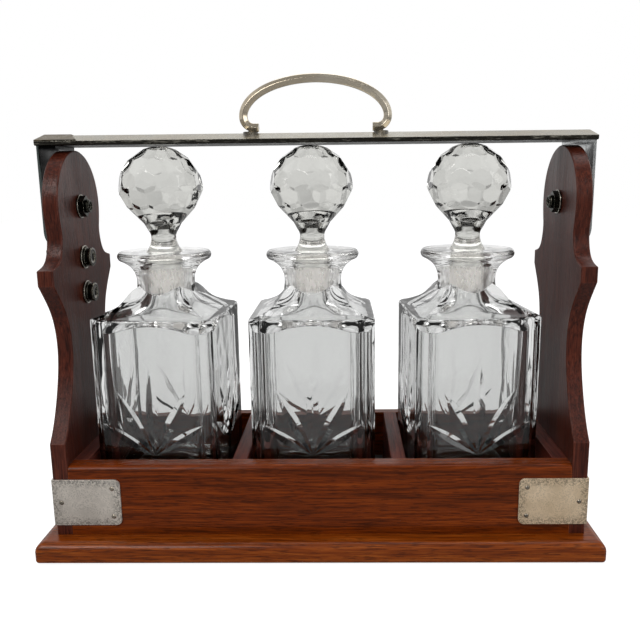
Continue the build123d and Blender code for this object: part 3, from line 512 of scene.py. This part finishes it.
FINISHES = {
    wood_front: ("tray_front_board", "tray_back_board"),
    wood_plinth: ("plinth",),
    wood_inner: ("tray_left_end", "tray_right_end", "left_divider", "right_divider", "tray_floor"),
    wood_upright: ("left_upright", "right_upright"),
    baize: ("baize_pads",),
    grey_corner: ("front_left_corner_plate", "rear_left_corner_plate"),
    pin_silver: ("corner_pins",),
    gold_corner: ("front_right_corner_plate", "rear_right_corner_plate"),
    silver_bar: ("locking_bar",),
    bronzed: ("bar_end_plate",),
    left_arm_shaded_plate: ("left_arm",),
    silver_arm: ("right_arm", "arm_rivets"),
    silver_handle: ("handle_bow",),
    foot_plate: ("handle_feet", "handle_screws"),
    steel: (
        "left_pivot_bolt", "right_pivot_bolt", "pivot_nuts", "spacer_bushes", "lock_screws",
        "frame_screws",
    ),
    washer_steel: ("pivot_washers", "lock_washers"),
    lock_brass: ("lock_case", "lock_back_plate", "lock_barrel", "lock_bolt"),
}
for finish, nodes in FINISHES.items():
    for node in nodes:
        dress(node, finish)
for side in ("left", "middle", "right"):
    middle = centre_of(f"{side}_decanter")
    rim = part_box(f"{side}_decanter")[1].z
    joint = (rim - FROST_DROPS[0], rim - FROST_DROPS[1], (middle.x, middle.y))
    glass = crystal(
        f"{side}_crystal", DECANTER_TINT, *joint,
        arris=0.0008, ripple=0.30, neck_tint=DECANTER_NECK_TINT,
    )
    dress(f"{side}_decanter", glass)
    dress(f"{side}_stopper", crystal(f"{side}_stopper_crystal", STOPPER_TINT, *joint, arris=0.0009))


# ------------------------------------------------- turned fastener details
RING_SEGMENTS = 56


def turned(name, profile, centre, side, material):
    """Ring turned about an axis along X. profile is a closed loop of (distance from the wood, radius)."""
    mesh = bpy.data.meshes.new(name)
    bm = bmesh.new()
    loops = []
    for k in range(RING_SEGMENTS):
        a = 2 * math.pi * k / RING_SEGMENTS
        loops.append([
            bm.verts.new((centre[0] - side * d, centre[1] + r * math.cos(a), centre[2] + r * math.sin(a)))
            for d, r in profile
        ])
    for k, here in enumerate(loops):
        there = loops[(k + 1) % RING_SEGMENTS]
        for j in range(len(profile)):
            n = (j + 1) % len(profile)
            bm.faces.new((here[j], here[n], there[n], there[j]))
    bmesh.ops.recalc_face_normals(bm, faces=bm.faces)
    for face in bm.faces:
        face.smooth = True
    bm.to_mesh(mesh)
    bm.free()
    mesh.materials.append(material)
    o = bpy.data.objects.new(name, mesh)
    scene.collection.objects.link(o)
    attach(o, "frame")


def bead(distance, radius, thick, points=10):
    """Round wire section of a ring."""
    angles = [2 * math.pi * i / points for i in range(points)]
    return [(distance + thick * math.cos(a), radius + thick * math.sin(a)) for a in angles]


def flange(low, high, inner, outer, bevel=0.0003):
    """Flat collar section with bevelled outer corners."""
    return [
        (low, inner), (low, outer - bevel), (low + bevel, outer),
        (high - bevel, outer), (high, outer - bevel), (high, inner),
    ]


INNER_FACE_X, PIVOT_Z, LOCK_DROPS = 0.1731, 0.2402, (0.0369, 0.0629)
WASHER_RIM = bead(distance=0.0011, radius=0.0081, thick=0.00045)
END_RING = bead(distance=0.0070, radius=0.0037, thick=0.0007)
COLLAR = flange(low=0.0012, high=0.0030, inner=0.0058, outer=0.0071)
END_DISC = flange(low=0.0050, high=0.0068, inner=0.0030, outer=0.0068)

for side, label in ((-1, "left"), (1, "right")):
    spot = (side * INNER_FACE_X, 0.0, PIVOT_Z)
    turned(f"{label}_pivot_washer_rim", WASHER_RIM, spot, side, highlit_rim_steel)
    turned(f"{label}_pivot_end_ring", END_RING, spot, side, steel)
for number, drop in enumerate(LOCK_DROPS, 1):
    spot = (-INNER_FACE_X, 0.0, PIVOT_Z - drop)
    turned(f"lock_washer_rim_{number}", WASHER_RIM, spot, -1, highlit_rim_steel)
    turned(f"lock_screw_collar_{number}", COLLAR, spot, -1, steel)
    turned(f"lock_screw_end_disc_{number}", END_DISC, spot, -1, disc_steel)


# ------------------------------------------------------------------- world
# White for the camera. Reflections and refractions see a soft cloudy room that is darker above,
# and reflections see it darker still towards the front. All else is lit by a plain pale level.
LIGHT_LEVEL = 0.55

world = bpy.data.worlds.new("studio")
scene.world = world
sky = Tree(world, "ShaderNodeOutputWorld", "Generated")
ray = sky.add("ShaderNodeLightPath").outputs
cloud = sky.add("ShaderNodeTexNoise")
sky.put(cloud.inputs["Vector"], sky.coord)
sky.put(cloud.inputs["Scale"], 3.4)
sky.put(cloud.inputs["Detail"], 1.0)
top = sky.span(sky.axis("Z"), 0.70, 0.93, 1.0, 0.40)
front = sky.span(sky.axis("Y"), -0.80, 0.10, 0.25, 1.0, "LINEAR")
patches = sky.span(cloud.outputs["Fac"], 0.40, 0.58, 0.62, 1.0, "LINEAR")
room = sky.times(sky.times(top, patches), sky.mix_value(ray["Is Glossy Ray"], 1.0, front))

plain = sky.add("ShaderNodeBackground")
sky.put(plain.inputs["Color"], (0.98, 0.99, 1.0))
sky.put(plain.inputs["Strength"], LIGHT_LEVEL)
seen = sky.add("ShaderNodeBackground")
sky.put(seen.inputs["Color"], (1, 1, 1))
sky.put(seen.inputs["Strength"], sky.mix_value(ray["Is Camera Ray"], room, 1.0))
straight = sky.math("MAXIMUM", ray["Is Camera Ray"], ray["Is Glossy Ray"])
straight = sky.math("MAXIMUM", straight, ray["Is Transmission Ray"])
chosen = sky.add("ShaderNodeMixShader")
for socket, value in zip(chosen.inputs, (straight, plain.outputs[0], seen.outputs[0])):
    sky.put(socket, value)
sky.finish(chosen)


# ------------------------------------------------------------------- floor
FLOOR_HALF, FLOOR_DROP = 4, 0.0004
FLOOR_GLOW = 0.76

floor_mesh = bpy.data.meshes.new("studio_floor")
corners = [(-FLOOR_HALF, -FLOOR_HALF, 0), (FLOOR_HALF, -FLOOR_HALF, 0),
           (FLOOR_HALF, FLOOR_HALF, 0), (-FLOOR_HALF, FLOOR_HALF, 0)]
floor_mesh.from_pydata(corners, [], [(0, 1, 2, 3)])
floor = bpy.data.objects.new("studio_floor", floor_mesh)
floor.location.z = -FLOOR_DROP
scene.collection.objects.link(floor)
pale = material_tree("pale_floor")
ray = pale.add("ShaderNodeLightPath").outputs
shows = pale.math("MAXIMUM", ray["Is Camera Ray"], ray["Is Transmission Ray"])
shows = pale.math("MAXIMUM", shows, pale.times(ray["Is Glossy Ray"], 0.12))
diffuse = pale.add("ShaderNodeBsdfDiffuse")
pale.put(diffuse.inputs["Color"], pale.mix(ray["Is Glossy Ray"], (0.48, 0.48, 0.48), (0.24, 0.24, 0.24)))
glow = pale.add("ShaderNodeEmission")
pale.put(glow.inputs["Strength"], pale.times(shows, FLOOR_GLOW))
both = pale.add("ShaderNodeAddShader")
pale.put(both.inputs[0], diffuse.outputs[0])
pale.put(both.inputs[1], glow.outputs[0])
floor_mesh.materials.append(pale.finish(both))


# ------------------------------------------------------------------- lamps
def lamp(name, place, target, size, power, colour):
    """Soft rectangular lamp, aimed at target."""
    data = bpy.data.lights.new(name, "AREA")
    data.shape = "RECTANGLE"
    data.size, data.size_y = size
    data.energy = power
    data.color = colour
    o = bpy.data.objects.new(name, data)
    scene.collection.objects.link(o)
    o.location = place
    o.rotation_mode = "QUATERNION"
    o.rotation_quaternion = (Vector(target) - Vector(place)).to_track_quat("-Z", "Y")


lamp("key", (-0.75, -1.15, 1.25), (0, 0, 0.12), (0.9, 0.7), 11.5, (1.0, 0.985, 0.96))
lamp("fill", (1.1, -0.9, 0.75), (0, 0, 0.12), (0.9, 0.9), 5.5, (1.0, 0.99, 0.98))
lamp("top", (0.1, 0.3, 1.4), (0, 0, 0.1), (1.2, 0.8), 7.5, (1.0, 1.0, 1.0))
